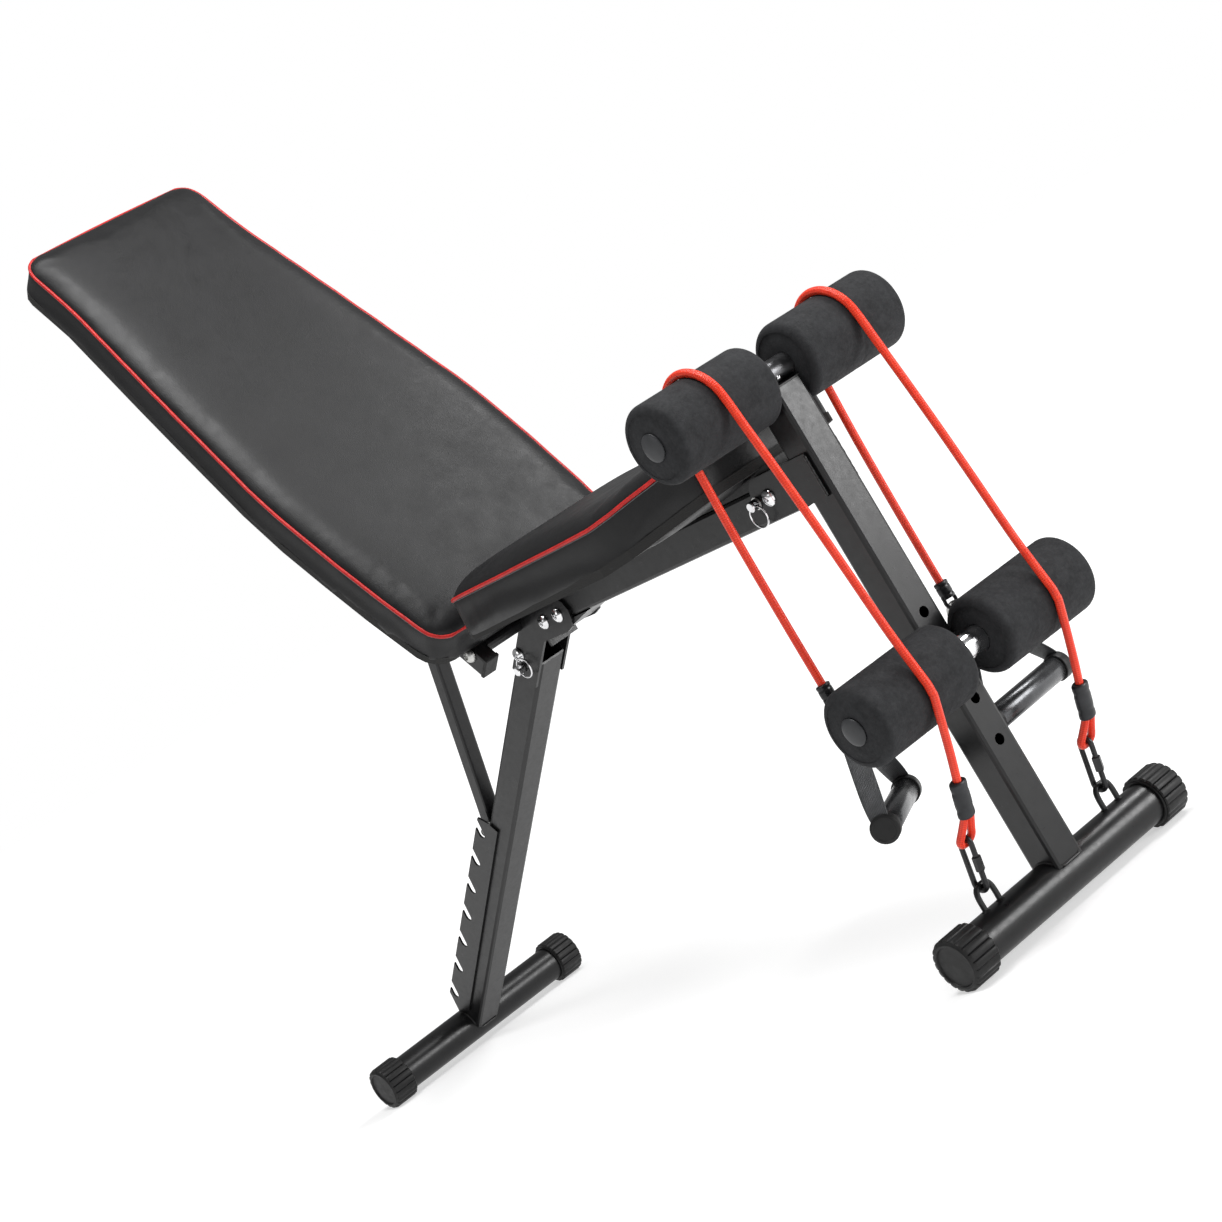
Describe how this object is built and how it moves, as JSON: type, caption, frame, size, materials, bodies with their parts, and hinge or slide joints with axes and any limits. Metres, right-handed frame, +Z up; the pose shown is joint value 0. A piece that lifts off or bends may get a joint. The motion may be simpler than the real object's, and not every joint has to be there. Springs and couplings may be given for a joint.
{
  "type": "decline sit up bench",
  "caption": "Folding sit up bench with tilting padded backrest on a slotted leg, foam foot rollers and elastic ropes with D-handles.",
  "frame": {"origin": "on the floor, under the centre of the bench's box", "axes": "+X towards the foot rollers, +Z up, Y = 0 is the plane of symmetry of frame and cushions"},
  "size_m": [1.3184, 0.34, 1.1412],
  "materials": {
    "frame_black": "satin powder coat",
    "plastic": "matte moulded",
    "foam": "matte foam",
    "leather": "satin artificial leather over foam",
    "board": "black covered plywood",
    "chrome": "polished",
    "zinc": "zinc plated",
    "rope": "braided elastic rope",
    "webbing": "woven webbing",
    "grip": "satin moulded",
    "chain": "black oxide steel"
  },
  "bodies": {
    "beam": {"main_beam": "frame_black", "seat_board": "board", "seat_pad": "leather", "rear_clevis": "frame_black", "clevis_bolt_front": "chrome", "clevis_bolt_rear": "chrome"},
    "front_post": {"front_post": "frame_black", "post_top_plug": "plastic", "front_bracket": "frame_black", "front_pivot_bolt": "chrome", "front_foot": "frame_black", "front_foot_cap_left": "plastic", "front_foot_cap_right": "plastic", "upper_roller_shaft": "zinc", "lower_roller_shaft": "chrome", "upper_roller_cap_left": "plastic", "upper_roller_cap_right": "plastic", "lower_roller_cap_left": "plastic", "lower_roller_cap_right": "plastic", "lower_roller_bracket": "frame_black", "foot_staple_left": "frame_black", "foot_staple_right": "frame_black", "chain_link_left": "chain", "chain_link_right": "chain", "front_rope_eye_left": "rope", "front_rope_eye_right": "rope", "rear_rope_eye_left": "chain", "rear_rope_eye_right": "chain", "rope_left": "rope", "rope_right": "rope"},
    "rear_leg": {"rear_leg": "frame_black", "rack_plate_left": "frame_black", "rack_plate_right": "frame_black", "leg_pivot_bolt": "chrome", "rear_foot": "frame_black", "rear_foot_cap_left": "plastic", "rear_foot_cap_right": "plastic"},
    "backrest": {"backrest_board": "board", "backrest_pad": "leather", "back_rail_left": "frame_black", "back_rail_right": "frame_black", "hinge_shaft": "zinc", "strut_bracket": "frame_black"},
    "strut": {"strut_tube": "frame_black", "strut_rod": "zinc"},
    "front_washer": {"front_pin_washer": "zinc"},
    "front_pin": {"front_lock_pin": "chrome"},
    "front_ring": {"front_pull_ring": "zinc"},
    "leg_pin": {"leg_lock_pin": "chrome"},
    "leg_ring": {"leg_pull_ring": "zinc"},
    "upper_roller_left": {"upper_foam_left": "foam"},
    "upper_roller_right": {"upper_foam_right": "foam"},
    "lower_roller_left": {"lower_foam_left": "foam"},
    "lower_roller_right": {"lower_foam_right": "foam"},
    "handle_left": {"handle_ring_left": "chain", "handle_strap_left": "webbing", "handle_grip_left": "grip"},
    "handle_right": {"handle_ring_right": "chain", "handle_strap_right": "webbing", "handle_grip_right": "grip"}
  },
  "joints": [
    {"name": "front_post_fold", "type": "hinge", "parent": "beam", "child": "front_post", "pos_m": [0.50705, 0, 0.485], "axis": [0, 1, 0], "range_deg": [0, 80]},
    {"name": "rear_leg_fold", "type": "hinge", "parent": "beam", "child": "rear_leg", "pos_m": [-0.03355, 0, 0.4468], "axis": [0, -1, 0], "range_deg": [0, 75]},
    {"name": "backrest_tilt", "type": "hinge", "parent": "beam", "child": "backrest", "pos_m": [-0.00395, 0, 0.479], "axis": [0, -1, 0], "range_deg": [0, 77]},
    {"name": "strut_swing", "type": "hinge", "parent": "backrest", "child": "strut", "pos_m": [-0.14535, 0, 0.67966], "axis": [0, -1, 0], "range_deg": [-104, 0]},
    {"name": "upper_roller_left_spin", "type": "hinge", "parent": "front_post", "child": "upper_roller_left", "pos_m": [0.57405, 0.09175, 0.5885], "axis": [0, 1, 0], "continuous": true},
    {"name": "upper_roller_right_spin", "type": "hinge", "parent": "front_post", "child": "upper_roller_right", "pos_m": [0.57405, -0.09175, 0.5885], "axis": [0, 1, 0], "continuous": true},
    {"name": "lower_roller_left_spin", "type": "hinge", "parent": "front_post", "child": "lower_roller_left", "pos_m": [0.61405, 0.09175, 0.272], "axis": [0, 1, 0], "continuous": true},
    {"name": "lower_roller_right_spin", "type": "hinge", "parent": "front_post", "child": "lower_roller_right", "pos_m": [0.61405, -0.09175, 0.272], "axis": [0, 1, 0], "continuous": true},
    {"name": "handle_left_swing", "type": "hinge", "parent": "front_post", "child": "handle_left", "pos_m": [0.52155, 0.095, 0.293], "axis": [0, -1, 0], "range_deg": [-10, 18]},
    {"name": "handle_right_swing", "type": "hinge", "parent": "front_post", "child": "handle_right", "pos_m": [0.52155, -0.095, 0.281], "axis": [0, -1, 0], "range_deg": [-10, 18]},
    {"name": "front_pin_turn", "type": "hinge", "parent": "front_post", "child": "front_washer", "pos_m": [0.48605, -0.023, 0.485], "axis": [0, 1, 0], "range_deg": [-80, 0]},
    {"name": "front_pin_pull", "type": "slide", "parent": "front_washer", "child": "front_pin", "axis": [0, -1, 0], "range_m": [0, 0.02]},
    {"name": "front_ring_swing", "type": "hinge", "parent": "front_pin", "child": "front_ring", "pos_m": [0.48605, -0.029, 0.485], "axis": [-1, 0, 0], "range_deg": [0, 70]},
    {"name": "leg_pin_pull", "type": "slide", "parent": "beam", "child": "leg_pin", "axis": [0, -1, 0], "range_m": [0, 0.02]},
    {"name": "leg_ring_swing", "type": "hinge", "parent": "leg_pin", "child": "leg_ring", "pos_m": [-0.04065, -0.029, 0.4314], "axis": [0, 0, -1], "range_deg": [0, 70]}
  ],
  "couplings": [
    {"joint": "strut_swing", "follows": "backrest_tilt", "ratio": -1.35},
    {"joint": "front_pin_turn", "follows": "front_post_fold", "ratio": -1}
  ]
}
